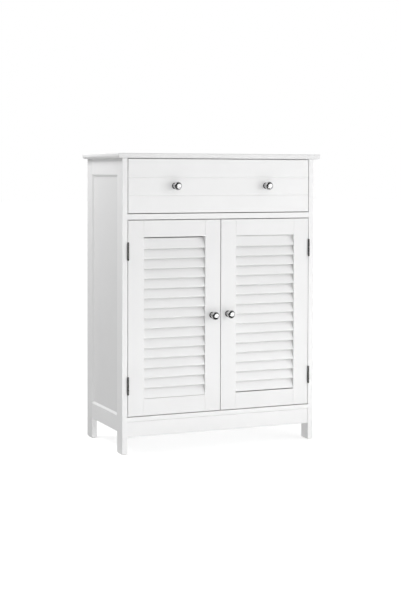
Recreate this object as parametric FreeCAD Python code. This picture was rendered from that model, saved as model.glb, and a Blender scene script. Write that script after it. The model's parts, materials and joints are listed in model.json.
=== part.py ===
import FreeCAD, Part
import math
import os

Vector = FreeCAD.Vector
tolerance = 1e-6

# Louvred door cabinet: one drawer over a two-door cupboard, on four legs.
# Millimetres. +X is to the right, +Y is to the back and +Z is up.
# The origin is at the centre of the bottom of the whole cabinet's box, knobs included.

# Outside of the cabinet
overall_height = 800.0
top_width = 600.0
top_depth = 300.0
top_thickness = 13.5
top_side_overhang = 15.0
top_front_overhang = 13.0
top_upper_round = 3.0
top_lower_round = 8.0
edge_round = 0.8

# Side frames: posts, rails, a recessed panel and the beading round it
frame_thickness = 15.0
post_width = 40.0
lower_rail_height = 43.0
upper_rail_height = 44.5
side_rail_clearance = 57.0
panel_recess = 5.0
bead_width = 5.0

# Glides under the posts
glide_height = 2.0
glide_margin = 2.0
glide_corner_round = 3.0
glide_stem_radius = 1.5
glide_stem_length = 10.0

# Boards between the side frames
drawer_bay_height = 148.0
divider_thickness = 15.0
floor_thickness = 12.0
apron_clearance = 45.5
apron_height = 41.5
apron_thickness = 15.0
apron_setback = 2.0
back_thickness = 3.0
back_inset = 8.0
back_groove_depth = 6.0
top_groove_depth = 4.0

# Shelf and its pins, with a spare row of holes above and below
shelf_thickness = 15.0
shelf_underside = 352.0
shelf_front_setback = 26.0
shelf_gap = 1.0
pin_radius = 2.5
pin_embedded = 9.0
pin_reach = 9.0
pin_ledge_width = 7.0
pin_edge_margin = 8.0
pin_pitch = 64.0

# Gaps round the drawer front and the doors
level_gap = 2.0
drawer_top_gap = 1.5
side_gap = 1.5
centre_gap = 2.0

# Drawer
drawer_front_thickness = 15.0
front_groove_width = 7.0
front_groove_depth = 1.0
front_groove_count = 2
drawer_side_thickness = 12.0
drawer_side_height = 100.0
drawer_side_lift = 10.0
drawer_rear_gap = 16.0
drawer_stay_in = 65.0
drawer_bottom_thickness = 3.0
drawer_bottom_lift = 10.0
drawer_groove_depth = 5.0
drawer_back_drop = 8.0
drawer_knob_x = 135.5

# Doors
door_thickness = 20.0
stile_width = 45.0
door_rail_height = 45.0
rail_tenon_length = 20.0
rail_tenon_thickness = 7.0
rail_tenon_shoulder = 8.0
slat_spacing = 26.6
slat_thickness = 4.5
slat_chord = 30.0
slat_tilt = 27.0
slat_setback = 1.0
slat_tenon = 6.0
slat_round = 1.2
slat_slack = 2.7
left_slat_lift = 0.2
right_slat_lift = 2.0
left_knob_inset = 24.0
right_knob_inset = 21.0
left_knob_lift = 0.3
right_knob_lift = 2.4

# Knobs: a collar against the face, a neck and a domed head
knob_projection = 30.0
knob_head_radius = 11.5
knob_dome_height = 7.5
knob_underside_height = 6.0
knob_collar_radius = 8.0
knob_collar_length = 3.0
knob_cove = 2.0
knob_neck_radius = 5.5
knob_screw_radius = 2.0
knob_screw_grip = 9.0

# Butt hinges
hinge_length = 46.0
hinge_inset = 82.0
barrel_radius = 2.5
barrel_standoff = 0.3
hinge_pin_radius = 1.2
hinge_pin_play = 0.05
hinge_tip_radius = 1.9
hinge_tip_length = 1.5
leaf_thickness = 1.2
leaf_width = 15.0
leaf_gap = 0.3
knuckle_count = 5
knuckle_play = 0.2
hinge_screw_spacing = 30.0
hinge_screw_radius = 1.3
hinge_screw_head_radius = 2.5
hinge_screw_length = 12.0

# Drawer runners: a channel on each side frame and an angle on each drawer side
runner_space = 12.5
runner_sheet = 1.2
runner_front_gap = 2.0
track_lift = 2.0
track_height = 20.0
track_width = 10.0
front_roller_radius = 8.0
rear_roller_radius = 8.5
roller_width = 6.5
roller_setback = 12.0
roller_bore_play = 0.05
roller_play = 0.3
axle_radius = 2.0
axle_head_radius = 3.0
axle_head_length = 0.8
angle_foot_width = 9.0
angle_flange_gap = 2.0
angle_ear_reach = 5.0
stop_depth = 4.0

# Magnetic catch and the steel plates on the doors
catch_width = 40.0
catch_depth = 14.0
catch_height = 12.0
catch_ear_width = 9.0
catch_ear_thickness = 3.0
catch_gap = 0.3
magnet_width = 12.0
magnet_height = 6.0
magnet_depth = 8.0
strike_width = 14.0
strike_height = 12.0
strike_thickness = 1.2
strike_margin = 1.0
strike_x = 12.0

# Screws, dowels and cam fittings
fit_gap = 0.1
screw_radius = 1.75
screw_head_radius = 3.2
screw_head_height = 1.8
recess_reach = 1.5
recess_width = 0.7
recess_depth = 0.9
short_screw_length = 9.0
panel_screw_length = 15.0
joint_screw_length = 30.0
back_screw_count = 4
dowel_radius = 4.0
dowel_shallow = 10.0
dowel_deep = 18.0
dowel_edge_margin = 7.0
rail_dowel_height = 13.0
apron_dowel_x = 150.0
cam_radius = 6.0
cam_reach = 24.0
cam_floor = 3.0
cam_edge_margin = 20.0
cam_bolt_radius = 2.5
cam_bolt_embedded = 9.0

# Planes and levels that follow from the sizes above
outer_x = top_width / 2 - top_side_overhang
inner_x = outer_x - frame_thickness
panel_x = outer_x - panel_recess
frame_x = outer_x - frame_thickness / 2
carcass_depth = top_depth - top_front_overhang
front_y = knob_projection - (carcass_depth + knob_projection) / 2
back_y = front_y + carcass_depth
front_post_y = front_y + post_width
rear_post_y = back_y - post_width
back_face_y = back_y - back_inset
back_panel_y = back_face_y - back_thickness
under_top_z = overall_height - top_thickness
low_rail_z = side_rail_clearance
low_rail_top_z = low_rail_z + lower_rail_height
high_rail_z = under_top_z - upper_rail_height
floor_z = apron_clearance + apron_height
floor_top_z = floor_z + floor_thickness
bay_floor_z = under_top_z - drawer_bay_height
divider_z = bay_floor_z - divider_thickness

door_outer_x = inner_x - side_gap
door_inner_x = centre_gap / 2
door_back_y = front_y + door_thickness
door_low_z = floor_top_z + level_gap
door_high_z = divider_z - level_gap
louvre_inner_x = door_inner_x + stile_width
louvre_outer_x = door_outer_x - stile_width
louvre_low_z = door_low_z + door_rail_height
louvre_high_z = door_high_z - door_rail_height
slat_lean = math.radians(slat_tilt)
slat_rise = slat_chord * math.cos(slat_lean) + slat_thickness * math.sin(slat_lean)
slat_span = louvre_high_z - louvre_low_z - slat_rise - slat_slack
slat_steps = round(slat_span / slat_spacing)
slat_pitch = slat_span / slat_steps

hinge_x = inner_x - side_gap / 2
hinge_y = front_y - barrel_radius - barrel_standoff
hinge_levels = [door_low_z + hinge_inset, door_high_z - hinge_inset]

drawer_low_z = bay_floor_z + level_gap
drawer_high_z = under_top_z - drawer_top_gap
drawer_middle_z = (drawer_low_z + drawer_high_z) / 2
front_back_y = front_y + drawer_front_thickness
box_x = inner_x - runner_space
box_inner_x = box_x - drawer_side_thickness
box_z = drawer_low_z + drawer_side_lift
box_top_z = box_z + drawer_side_height
box_back_y = back_panel_y - drawer_rear_gap
drawer_travel = box_back_y - front_back_y - drawer_stay_in
drawer_bottom_z = box_z + drawer_bottom_lift
drawer_back_z = drawer_bottom_z + drawer_bottom_thickness
side_joint_levels = [box_z + share * drawer_side_height for share in (0.4, 0.8)]

track_z = bay_floor_z + track_lift
track_top_z = track_z + track_height
track_y = front_back_y + runner_front_gap
track_web_x = inner_x - runner_sheet
track_x = inner_x - track_width
angle_web_x = box_x + runner_sheet
front_roller_x = track_web_x - roller_play - roller_width
front_roller_y = track_y + roller_setback
front_roller_z = track_top_z + runner_sheet + roller_play - front_roller_radius
rear_roller_x = angle_web_x + roller_play
rear_roller_y = box_back_y - roller_setback
rear_roller_z = track_z + runner_sheet + roller_play + rear_roller_radius
track_end_y = rear_roller_y + rear_roller_radius + roller_play + runner_sheet
angle_flange_z = front_roller_z + front_roller_radius + roller_play

strike_z = door_high_z - strike_margin - strike_height
catch_y = door_back_y + strike_thickness + catch_gap
catch_z = divider_z - catch_height

right = Vector(1, 0, 0)
left = Vector(-1, 0, 0)
back = Vector(0, 1, 0)
front = Vector(0, -1, 0)
up = Vector(0, 0, 1)
down = Vector(0, 0, -1)


# Shapes

def block(x, y, z):
    """A box between two values of x, two of y and two of z."""
    low = Vector(min(x), min(y), min(z))
    return Part.makeBox(abs(x[1] - x[0]), abs(y[1] - y[0]), abs(z[1] - z[0]), low)


def board(x, y, z):
    """A box with its edges slightly rounded, as a painted board has."""
    solid = block(x, y, z)
    return solid.makeFillet(edge_round, solid.Edges)


def rod(radius, start, direction, length):
    return Part.makeCylinder(radius, length, start, direction)


def placed(solid, start, direction):
    """Turn a solid made along +Z to lie along direction, and move it to start."""
    solid.Placement = FreeCAD.Placement(start, FreeCAD.Rotation(up, direction))
    return solid


def turned(edges, start, direction):
    """Revolve an outline of edges, made in the XZ plane with Z as its axis."""
    outline = Part.Wire(Part.__sortEdges__(edges))
    solid = Part.Face(outline).revolve(Vector(0, 0, 0), up, 360)
    return placed(solid, start, direction)


def straight_turned(profile, start, direction):
    """Revolve an outline of straight lines: profile holds (radius, height) pairs."""
    corners = [Vector(radius, 0, height) for radius, height in profile]
    corners = [Vector(0, 0, profile[0][1])] + corners + [Vector(0, 0, profile[-1][1])]
    return turned(Part.makePolygon(corners + [corners[0]]).Edges, start, direction)


def flat(corners):
    return Part.Face(Part.makePolygon(corners + [corners[0]]))


def mirrored(solid):
    return solid.mirror(Vector(0, 0, 0), right)


def both_sides(solids):
    return solids + [mirrored(solid) for solid in solids]


def joined(solids):
    """Fuse touching solids into one."""
    return solids[0].fuse(solids[1:]).removeSplitter()


def cut(solid, tools):
    """Cut a solid with those tools that reach it."""
    near = [tool for tool in tools if solid.BoundBox.intersect(tool.BoundBox)]
    return solid.cut(near) if near else solid


# Fixings: each function gives the solid and the hole that it needs

def recessed(solid, head, direction):
    """Cut a cross recess into a head at the point head, along direction."""
    corner = Vector(-recess_reach, -recess_width / 2, 0)
    arm = Part.makeBox(2 * recess_reach, recess_width, recess_depth, corner)
    across = arm.copy()
    across.rotate(Vector(0, 0, 0), up, 90)
    return solid.cut(placed(arm.fuse(across), head, direction))


def sunk_screw(head, direction, length, radius=screw_radius, head_radius=screw_head_radius):
    """A countersunk screw whose head is flush at the point head."""
    taper = head_radius - radius
    shape = [(head_radius, 0), (radius, taper), (radius, length - radius), (radius / 4, length)]
    loose = [(head_radius + fit_gap, 0), (radius + fit_gap, taper), (radius + fit_gap, length + fit_gap)]
    solid = straight_turned(shape, head, direction)
    return recessed(solid, head, direction), straight_turned(loose, head, direction)


def pan_screw(seat, direction, length, radius=screw_radius, head_radius=screw_head_radius):
    """A screw with a domed head that sits on the surface at the point seat."""
    top = Vector(0, 0, -screw_head_height)
    rim = Vector(head_radius, 0, 0)
    crown = Part.Arc(top, Vector(0.75 * head_radius, 0, -0.7 * screw_head_height), rim).toShape()
    below = [rim, Vector(radius, 0, 0), Vector(radius, 0, length - radius),
             Vector(radius / 4, 0, length), Vector(0, 0, length), top]
    solid = turned([crown] + Part.makePolygon(below).Edges, seat, direction)
    hole = rod(radius + fit_gap, seat, direction, length + fit_gap)
    return recessed(solid, seat - direction * screw_head_height, direction), hole


def dowel(seat, deep):
    """A dowel across a joint, with its longer end along deep."""
    start = seat - deep * dowel_shallow
    length = dowel_shallow + dowel_deep
    hole = rod(dowel_radius + fit_gap, start - deep * fit_gap, deep, length + 2 * fit_gap)
    return rod(dowel_radius, start, deep, length), hole


def cam_fitting(seat, along, cam_axis, thickness):
    """A bolt across a joint, and the cam that draws it in.

    The cam goes along cam_axis into the face of a board of that thickness.
    """
    start = seat - along * cam_bolt_embedded
    length = cam_bolt_embedded + cam_reach
    bolt = rod(cam_bolt_radius, start, along, length)
    bolt_hole = rod(cam_bolt_radius + fit_gap, start - along * fit_gap, along, length + 2 * fit_gap)
    mouth = seat + along * cam_reach - cam_axis * (thickness / 2)
    depth = thickness - cam_floor
    cam = rod(cam_radius, mouth, cam_axis, depth).cut(bolt_hole)
    cam_hole = rod(cam_radius + fit_gap, mouth, cam_axis, depth + fit_gap)
    return bolt, recessed(cam, mouth, cam_axis), bolt_hole.fuse(cam_hole)


def solids_of(fixings):
    return [solid for fixing in fixings for solid in fixing[:-1]]


def holes_of(fixings):
    return [fixing[-1] for fixing in fixings]


# Fixings of the right-hand side of the carcass

def carcass_dowels():
    seats = []
    for post_y, inward in ((front_post_y, back), (rear_post_y, front)):
        in_post_y = post_y - inward.y * dowel_edge_margin
        for rail_z in (low_rail_z, high_rail_z):
            seats.append((Vector(frame_x, post_y, rail_z + rail_dowel_height), inward))
        seats.append((Vector(frame_x, in_post_y, under_top_z), down))
        for level in (divider_z + divider_thickness / 2, floor_z + floor_thickness / 2):
            seats.append((Vector(inner_x, in_post_y, level), left))
    apron_y = front_y + apron_setback + apron_thickness / 2
    seats.append((Vector(inner_x, apron_y, apron_clearance + apron_height / 2), left))
    seats.append((Vector(apron_dowel_x, apron_y, floor_z), down))
    return [dowel(seat, deep) for seat, deep in seats]


def carcass_cams():
    fittings = []
    for y in (front_post_y - cam_edge_margin, rear_post_y + cam_edge_margin):
        fittings.append(cam_fitting(Vector(frame_x, y, under_top_z), down, right, frame_thickness))
        for low_z, thickness in ((divider_z, divider_thickness), (floor_z, floor_thickness)):
            seat = Vector(inner_x, y, low_z + thickness / 2)
            fittings.append(cam_fitting(seat, left, up, thickness))
    return fittings


def shelf_pins():
    """Two pins with flat ledges; each is followed by its row of three holes."""
    pins = []
    half = pin_ledge_width / 2
    level = shelf_underside - pin_radius
    for y in (front_post_y - pin_edge_margin, rear_post_y + pin_edge_margin):
        stem = rod(pin_radius, Vector(inner_x, y, level), right, pin_embedded)
        ledge = block((inner_x - pin_reach, inner_x), (y - half, y + half),
                      (level - pin_radius, shelf_underside))
        mouths = [Vector(inner_x, y, level + step * pin_pitch) for step in (-1, 0, 1)]
        holes = [rod(pin_radius + fit_gap, mouth, right, pin_embedded + fit_gap) for mouth in mouths]
        pins.append((joined([stem, ledge]), Part.makeCompound(holes)))
    return pins


def back_panel_screws():
    screws = []
    pitch = 2 * inner_x / back_screw_count
    for level in (divider_z + divider_thickness / 2, floor_z + floor_thickness / 2):
        for index in range(back_screw_count):
            x = pitch * (index + 0.5) - inner_x
            screws.append(pan_screw(Vector(x, back_face_y, level), front, panel_screw_length))
    return screws


def catch_screw():
    x = (catch_width + catch_ear_width) / 2
    seat = Vector(x, catch_y + catch_depth / 2, divider_z - catch_ear_thickness)
    return pan_screw(seat, up, short_screw_length)


def runner_screws(x, direction, z):
    """Countersunk screws through a runner at x, behind the post and in line with it."""
    first_y = front_post_y + cam_edge_margin
    last_y = rear_post_y + pin_edge_margin / 2
    places = [Vector(x, y, z) for y in (first_y, (first_y + last_y) / 2, last_y)]
    return [sunk_screw(place, direction, short_screw_length) for place in places]


# Butt hinges of the right-hand door; side is +1 at the post and -1 at the door

def leaf_x(side):
    """The two faces of a leaf: the one near the hinge line comes first."""
    near_x = hinge_x + side * leaf_gap / 2
    return near_x, near_x + side * leaf_thickness


def hinge_leaf(middle_z, side):
    """A plate, and the knuckles that it wraps round the pin."""
    low_z = middle_z - hinge_length / 2
    plate = block(leaf_x(side), (front_y, front_y + leaf_width), (low_z, low_z + hinge_length))
    pieces = [plate]
    knuckle = hinge_length / knuckle_count
    first = 0 if side > 0 else 1
    for index in range(first, knuckle_count, 2):
        start_z = low_z + index * knuckle + knuckle_play / 2
        end_z = start_z + knuckle - knuckle_play
        pieces.append(block(leaf_x(side), (hinge_y, front_y), (start_z, end_z)))
        pieces.append(rod(barrel_radius, Vector(hinge_x, hinge_y, start_z), up, end_z - start_z))
    bore = rod(hinge_pin_radius + hinge_pin_play, Vector(hinge_x, hinge_y, low_z), up, hinge_length)
    return cut(joined(pieces).cut(bore), holes_of(hinge_screws(side)))


def hinge_pin(middle_z):
    """A pin with a small domed tip beyond each end of the barrel."""
    half = hinge_length / 2
    middle = Vector(hinge_x, hinge_y, middle_z)
    tip = [(hinge_tip_radius, 0), (hinge_tip_radius, hinge_tip_length / 2),
           (hinge_tip_radius / 2, hinge_tip_length)]
    pieces = [rod(hinge_pin_radius, middle - up * half, up, hinge_length)]
    for end in (up, down):
        pieces.append(straight_turned(tip, middle + end * half, end))
    return joined(pieces)


def hinge_screws(side):
    screws = []
    for middle_z in hinge_levels:
        for step in (-1, 1):
            level = middle_z + step * hinge_screw_spacing / 2
            head = Vector(leaf_x(side)[0], front_y + leaf_width / 2, level)
            screws.append(sunk_screw(head, right * side, hinge_screw_length,
                                     hinge_screw_radius, hinge_screw_head_radius))
    return screws


def hinge_mortises(side):
    """The shallow recesses that the leaves lie in."""
    half = hinge_length / 2 + fit_gap
    depth = (front_y - edge_round, front_y + leaf_width + fit_gap)
    return [block((hinge_x, leaf_x(side)[1]), depth, (middle_z - half, middle_z + half))
            for middle_z in hinge_levels]


# Carcass

def rim(solid, level):
    """The edges at the front and the two sides of a board's face at this level."""
    edges = []
    for edge in solid.Edges:
        box = edge.BoundBox
        if max(abs(box.ZMin - level), abs(box.ZMax - level)) < tolerance and box.YMin < back_y - tolerance:
            edges.append(edge)
    return edges


def top_board(holes):
    solid = block((-top_width / 2, top_width / 2), (back_y - top_depth, back_y),
                  (under_top_z, overall_height))
    solid = solid.makeFillet(top_upper_round, rim(solid, overall_height))
    solid = solid.makeFillet(top_lower_round, rim(solid, under_top_z))
    groove_x = inner_x + back_groove_depth
    groove = block((-groove_x, groove_x), (back_panel_y - fit_gap, back_face_y + fit_gap),
                   (under_top_z, under_top_z + top_groove_depth))
    return cut(solid, holes + [groove])


def post(y, holes):
    solid = board((inner_x, outer_x), y, (glide_height, under_top_z))
    groove = block((inner_x, inner_x + back_groove_depth), (back_panel_y - fit_gap, back_face_y + fit_gap),
                   (floor_z - fit_gap, under_top_z))
    return cut(solid, holes + [groove])


def side_board(x, z, holes):
    """A rail or panel between the front and rear posts."""
    return cut(board(x, (front_post_y, rear_post_y), z), holes)


def side_beading():
    """Four strips of triangular section in the corner of the recess, mitred."""
    outline = [(front_post_y, low_rail_top_z), (rear_post_y, low_rail_top_z),
               (rear_post_y, high_rail_z), (front_post_y, high_rail_z)]
    steps = [(1, 1), (-1, 1), (-1, -1), (1, -1)]
    crest = [Vector(outer_x, y, z) for y, z in outline]
    foot = [Vector(panel_x, y, z) for y, z in outline]
    toe = [point + Vector(0, y, z) * bead_width for point, (y, z) in zip(foot, steps)]
    strips = []
    for a, b in ((0, 1), (1, 2), (2, 3), (3, 0)):
        faces = [flat([crest[a], crest[b], foot[b], foot[a]]), flat([foot[a], foot[b], toe[b], toe[a]]),
                 flat([crest[a], crest[b], toe[b], toe[a]]), flat([crest[a], foot[a], toe[a]]),
                 flat([crest[b], foot[b], toe[b]])]
        strips.append(Part.Solid(Part.Shell(faces)))
    return strips


def foot_glide(y):
    """A plastic plate under a post, with a stem pushed into the post."""
    plate = block((inner_x + glide_margin, outer_x - glide_margin),
                  (y[0] + glide_margin, y[1] - glide_margin), (0, glide_height))
    upright = [edge for edge in plate.Edges if edge.BoundBox.ZLength > glide_height / 2]
    plate = plate.makeFillet(glide_corner_round, upright)
    seat = Vector(frame_x, (y[0] + y[1]) / 2, glide_height)
    stem = rod(glide_stem_radius, seat, up, glide_stem_length)
    hole = rod(glide_stem_radius + fit_gap, seat, up, glide_stem_length + fit_gap)
    return joined([plate, stem]), hole


def magnet(margin):
    x = (strike_x - magnet_width / 2 - margin, strike_x + magnet_width / 2 + margin)
    middle_z = strike_z + strike_height - magnet_height / 2
    half = magnet_height / 2 + margin
    return block(x, (catch_y, catch_y + magnet_depth + margin), (middle_z - half, middle_z + half))


def catch_casing():
    body = block((-catch_width / 2, catch_width / 2), (catch_y, catch_y + catch_depth),
                 (catch_z, divider_z))
    body = body.makeFillet(edge_round, body.Edges)
    reach = catch_width / 2 + catch_ear_width
    ears = block((-reach, reach), (catch_y + edge_round, catch_y + catch_depth - edge_round),
                 (divider_z - catch_ear_thickness, divider_z))
    upright = [edge for edge in ears.Edges if edge.BoundBox.ZLength > catch_ear_thickness / 2]
    ears = ears.makeFillet(catch_ear_thickness, upright)
    return cut(joined([body, ears]), both_sides([magnet(fit_gap), catch_screw()[1]]))


# Runners and rollers, on the right-hand side

def stop_reach():
    """How far the rear roller reaches to the front at the level of the stop's end."""
    rise = rear_roller_radius + roller_play - stop_depth
    return math.sqrt(rear_roller_radius ** 2 - rise ** 2)


def runner_channel():
    """A channel open to the inside, with the front roller's axle riveted in.

    Its upper flange starts with a turned-down stop for the rear roller.
    """
    inner_top_z = track_top_z - runner_sheet
    stop_y = rear_roller_y - drawer_travel - stop_reach() - roller_play
    web = block((track_web_x, inner_x), (track_y, track_end_y), (track_z, track_top_z))
    floor = block((track_x, inner_x), (track_y, track_end_y), (track_z, track_z + runner_sheet))
    roof = block((track_x, inner_x), (stop_y - runner_sheet, track_end_y), (inner_top_z, track_top_z))
    stop = block((track_x, inner_x), (stop_y - runner_sheet, stop_y),
                 (inner_top_z - stop_depth, track_top_z))
    end = block((track_x, inner_x), (track_end_y - runner_sheet, track_end_y), (track_z, track_top_z))
    axle_start = Vector(inner_x, front_roller_y, front_roller_z)
    axle = roller_axle(axle_start, left, inner_x - front_roller_x + roller_play)
    solid = joined([web, floor, roof, stop, end, axle])
    return cut(solid, holes_of(channel_screws()))


def runner_angle():
    """An angle under the drawer's side, whose ear holds the rear roller's axle."""
    y = (track_y, box_back_y)
    foot_z = box_z - runner_sheet
    flange_x = inner_x - angle_flange_gap
    foot = block((box_x - angle_foot_width, angle_web_x), y, (foot_z, box_z))
    web = block((box_x, angle_web_x), y, (foot_z, angle_flange_z + runner_sheet))
    flange = block((box_x, flange_x), y, (angle_flange_z, angle_flange_z + runner_sheet))
    ear = block((box_x, angle_web_x), (rear_roller_y - angle_ear_reach, box_back_y),
                (rear_roller_z - angle_ear_reach, box_z))
    axle_start = Vector(box_x, rear_roller_y, rear_roller_z)
    axle = roller_axle(axle_start, right, rear_roller_x + roller_width + roller_play - box_x)
    solid = joined([foot, web, flange, ear, axle])
    return cut(solid, holes_of(angle_screws()))


def roller_axle(start, direction, length):
    """A rivet that ends in a flat head beyond the roller."""
    shank = rod(axle_radius, start, direction, length)
    head = rod(axle_head_radius, start + direction * length, direction, axle_head_length)
    return joined([shank, head])


def roller(radius, x, y, z):
    wheel = rod(radius, Vector(x, y, z), right, roller_width)
    circles = [edge for edge in wheel.Edges if len(edge.Vertexes) == 1]
    wheel = wheel.makeChamfer(roller_play, circles)
    return wheel.cut(rod(axle_radius + roller_bore_play, Vector(x, y, z), right, roller_width))


def channel_screws():
    return runner_screws(track_web_x, right, track_z + track_height / 2)


def angle_screws():
    return runner_screws(angle_web_x, left, (box_z + angle_flange_z) / 2)


# Knobs

def dome_middle():
    """The point half way along the knob's domed front, which is part of a sphere."""
    radius = (knob_head_radius ** 2 + knob_dome_height ** 2) / (2 * knob_dome_height)
    angle = math.asin(knob_head_radius / radius) / 2
    return Vector(radius * math.sin(angle), 0, knob_projection - radius * (1 - math.cos(angle)))


def knob(x, y, z):
    """A knob against a face at y, turned to the front."""
    head_z = knob_projection - knob_dome_height
    neck_z = head_z - knob_underside_height
    cove_z = knob_collar_length + knob_cove
    cove_radius = knob_neck_radius + knob_cove
    bulge = (knob_neck_radius + 2 * knob_head_radius) / 3
    points = [Vector(0, 0, 0), Vector(knob_collar_radius, 0, 0),
              Vector(knob_collar_radius, 0, knob_collar_length), Vector(cove_radius, 0, knob_collar_length)]
    edges = Part.makePolygon(points).Edges
    inner = Vector(cove_radius, 0, cove_z) + Vector(-1, 0, -1) * (knob_cove * math.sqrt(0.5))
    neck_low = Vector(knob_neck_radius, 0, cove_z)
    neck_high = Vector(knob_neck_radius, 0, neck_z)
    widest = Vector(knob_head_radius, 0, head_z)
    crown = Vector(0, 0, knob_projection)
    edges.append(Part.Arc(points[-1], inner, neck_low).toShape())
    edges.append(Part.makeLine(neck_low, neck_high))
    under_middle = Vector(bulge, 0, neck_z + knob_underside_height / 3)
    edges.append(Part.Arc(neck_high, under_middle, widest).toShape())
    edges.append(Part.Arc(widest, dome_middle(), crown).toShape())
    edges.append(Part.makeLine(crown, points[0]))
    return turned(edges, Vector(x, y, z), front)


def knob_screw(x, seat_y, z):
    """The screw from the inside, with its hole through the front and into the knob."""
    length = seat_y - front_y + knob_screw_grip
    return pan_screw(Vector(x, seat_y, z), front, length, knob_screw_radius)


# Drawer

def drawer_fixings():
    """Cam fittings, screws and angle screws of the drawer's right-hand side."""
    fixings = angle_screws()
    side_x = (box_inner_x + box_x) / 2
    for level in side_joint_levels:
        seat = Vector(side_x, front_back_y, level)
        fixings.append(cam_fitting(seat, back, right, drawer_side_thickness))
        head = Vector(box_x, box_back_y - drawer_side_thickness / 2, level)
        fixings.append(sunk_screw(head, left, joint_screw_length))
    seat = Vector(drawer_knob_x, box_back_y - drawer_side_thickness / 2, drawer_bottom_z)
    fixings.append(pan_screw(seat, up, panel_screw_length))
    fixings.append(knob_screw(drawer_knob_x, front_back_y, drawer_middle_z))
    return fixings


def drawer_front(holes):
    solid = board((-door_outer_x, door_outer_x), (front_y, front_back_y),
                  (drawer_low_z, drawer_high_z))
    radius = (front_groove_width ** 2 / 4 + front_groove_depth ** 2) / (2 * front_groove_depth)
    pitch = (drawer_high_z - drawer_low_z) / (front_groove_count + 1)
    for index in range(1, front_groove_count + 1):
        start = Vector(-door_outer_x, front_y + front_groove_depth - radius, drawer_low_z + index * pitch)
        holes = holes + [rod(radius, start, right, 2 * door_outer_x)]
    return cut(solid, holes + [drawer_bottom(fit_gap)])


def drawer_bottom(margin):
    """The bottom, or with a margin the grooves that hold it."""
    reach = box_inner_x + drawer_groove_depth - fit_gap + margin
    front_end_y = front_back_y - drawer_groove_depth + fit_gap - margin
    return block((-reach, reach), (front_end_y, box_back_y),
                 (drawer_bottom_z - margin, drawer_back_z + margin))


# Doors, on the right-hand side

def slat_bar(x, lift, margin):
    """A slat that leans back at the top, or with a margin the slot for it."""
    chord = slat_chord + 2 * margin
    thickness = slat_thickness + 2 * margin
    bar = Part.makeBox(x[1] - x[0], thickness, chord, Vector(x[0], 0, 0))
    long_edges = [edge for edge in bar.Edges if edge.BoundBox.XLength > slat_tenon / 2]
    bar = bar.makeFillet(slat_round, long_edges)
    bar.rotate(Vector(0, 0, 0), right, -slat_tilt)
    foot_z = louvre_low_z + lift + slat_thickness * math.sin(slat_lean)
    normal = Vector(0, math.cos(slat_lean), -math.sin(slat_lean))
    along = Vector(0, math.sin(slat_lean), math.cos(slat_lean))
    bar.translate(Vector(0, front_y + slat_setback, foot_z) - (normal + along) * margin)
    return bar


def slat_bars(lift, margin):
    x = (louvre_inner_x - slat_tenon - margin, louvre_outer_x + slat_tenon + margin)
    bars = []
    for index in range(slat_steps + 1):
        bars.append(slat_bar(x, lift + index * slat_pitch, margin))
    return bars


def door_rail(z):
    """A rail with a tenon at each end."""
    y = (front_y, door_back_y)
    solid = board((louvre_inner_x, louvre_outer_x), y, z)
    return joined([solid, rail_tenons(z, 0)])


def rail_tenons(z, margin):
    """The tenons as one bar through the rail, or with a margin the mortises."""
    middle_y = front_y + door_thickness / 2
    half = rail_tenon_thickness / 2 + margin
    x = (louvre_inner_x - rail_tenon_length - margin, louvre_outer_x + rail_tenon_length + margin)
    return block(x, (middle_y - half, middle_y + half),
                 (z[0] + rail_tenon_shoulder - margin, z[1] - rail_tenon_shoulder + margin))


def strike_plate():
    """A steel plate on the door's back, and the screw through it."""
    x = (strike_x - strike_width / 2, strike_x + strike_width / 2)
    plate = block(x, (door_back_y, door_back_y + strike_thickness), (strike_z, strike_z + strike_height))
    along_y = [edge for edge in plate.Edges if edge.BoundBox.YLength > strike_thickness / 2]
    plate = plate.makeFillet(strike_thickness, along_y)
    head = Vector(strike_x, door_back_y + strike_thickness, strike_z + strike_height / 2)
    screw, hole = sunk_screw(head, front, short_screw_length)
    return plate.cut(hole), screw, hole


def door(slat_lift, knob_inset, knob_lift):
    """All pieces of the right-hand door, by the last part of their names."""
    low_rail = (door_low_z, louvre_low_z)
    high_rail = (louvre_high_z, door_high_z)
    y = (front_y, door_back_y)
    z = (door_low_z, door_high_z)
    knob_x = door_inner_x + knob_inset
    knob_z = (door_low_z + door_high_z) / 2 + knob_lift
    knob_fixing, knob_hole = knob_screw(knob_x, door_back_y, knob_z)
    plate, plate_screw, plate_hole = strike_plate()
    leaf_screws = hinge_screws(-1)
    slots = slat_bars(slat_lift, fit_gap)
    slots += [rail_tenons(rail, fit_gap) for rail in (low_rail, high_rail)]
    outer = board((louvre_outer_x, door_outer_x), y, z)
    inner = board((door_inner_x, louvre_inner_x), y, z)
    return {
        "outer_stile": [cut(outer, slots + hinge_mortises(-1) + holes_of(leaf_screws))],
        "inner_stile": [cut(inner, slots + [knob_hole, plate_hole])],
        "top_rail": [door_rail(high_rail)],
        "bottom_rail": [door_rail(low_rail)],
        "slats": slat_bars(slat_lift, 0),
        "knob": [knob(knob_x, front_y, knob_z).cut(knob_hole)],
        "hinge_leaves": [hinge_leaf(middle_z, -1) for middle_z in hinge_levels],
        "strike_plate": [plate],
        "screws": [knob_fixing, plate_screw] + solids_of(leaf_screws),
    }


# Carcass nodes

dowels = carcass_dowels()
cams = carcass_cams()
pins = shelf_pins()
post_screws = hinge_screws(1) + channel_screws()
front_post = (front_y, front_post_y)
rear_post = (rear_post_y, back_y)
glides = [foot_glide(front_post), foot_glide(rear_post)]
panel_screws = back_panel_screws()
holes = holes_of(dowels + cams + pins + post_screws + glides)
catch_hole = catch_screw()[1]
across = (-inner_x, inner_x)
board_depth = (front_y, back_panel_y)
all_holes = both_sides(holes + [catch_hole]) + holes_of(panel_screws)

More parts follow.
